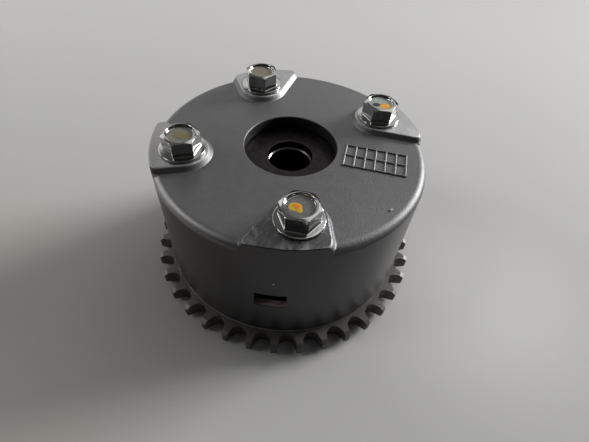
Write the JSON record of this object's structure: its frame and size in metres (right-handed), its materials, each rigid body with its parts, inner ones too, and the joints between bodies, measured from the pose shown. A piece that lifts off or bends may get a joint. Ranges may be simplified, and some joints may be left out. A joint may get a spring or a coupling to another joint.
{
  "type": "cam phaser",
  "caption": "Vane-type camshaft phaser: deep drum with raised bolt pads on a toothed timing sprocket, with a vane rotor and lock pin inside.",
  "frame": {"origin": "on the camshaft axis, in the plane of the sprocket's rear hub face", "axes": "+Z along the camshaft axis, from the camshaft towards the drum's bolt heads; the drum's window faces about -Y"},
  "size_m": [0.0962, 0.0962, 0.0562],
  "materials": {
    "drum_casting": "as cast, matte mid grey, with machined bolt pads",
    "sprocket_steel": "sintered steel, dark, with machined tooth chamfers",
    "rotor_steel": "sintered steel, dark brown grey, with a turned bright edge at the bore",
    "plated_steel": "bright zinc plated",
    "hardened_steel": "ground",
    "spring_steel": "drawn wire and strip",
    "seal_polymer": "dark filled polymer"
  },
  "bodies": {
    "drum": {"housing": "drum_casting", "sprocket": "sprocket_steel", "lock_pin_bush": "hardened_steel", "drum_bolt_1": "plated_steel", "drum_bolt_2": "plated_steel", "drum_bolt_3": "plated_steel", "drum_bolt_4": "plated_steel", "shoe_seal_1": "seal_polymer", "shoe_seal_1_spring": "spring_steel", "shoe_seal_2": "seal_polymer", "shoe_seal_2_spring": "spring_steel", "shoe_seal_3": "seal_polymer", "shoe_seal_3_spring": "spring_steel", "shoe_seal_4": "seal_polymer", "shoe_seal_4_spring": "spring_steel"},
    "rotor": {"rotor": "rotor_steel", "lock_pin_cap": "hardened_steel", "lock_pin_spring": "spring_steel", "vane_seal_1": "seal_polymer", "vane_seal_1_spring": "spring_steel", "vane_seal_2": "seal_polymer", "vane_seal_2_spring": "spring_steel", "vane_seal_3": "seal_polymer", "vane_seal_3_spring": "spring_steel", "vane_seal_4": "seal_polymer", "vane_seal_4_spring": "spring_steel"},
    "lock_pin": {"lock_pin": "hardened_steel"}
  },
  "joints": [
    {"name": "phase_turn", "type": "hinge", "parent": "drum", "child": "rotor", "pos_m": [0, 0, 0.031], "axis": [0, 0, -1], "range_deg": [0, 28]},
    {"name": "lock_pin_slide", "type": "slide", "parent": "rotor", "child": "lock_pin", "axis": [0, 0, 1], "range_m": [0, 0.004], "stiffness_N_per_m": 600, "springref_m": -0.006, "deforming": ["lock_pin_spring"]}
  ]
}
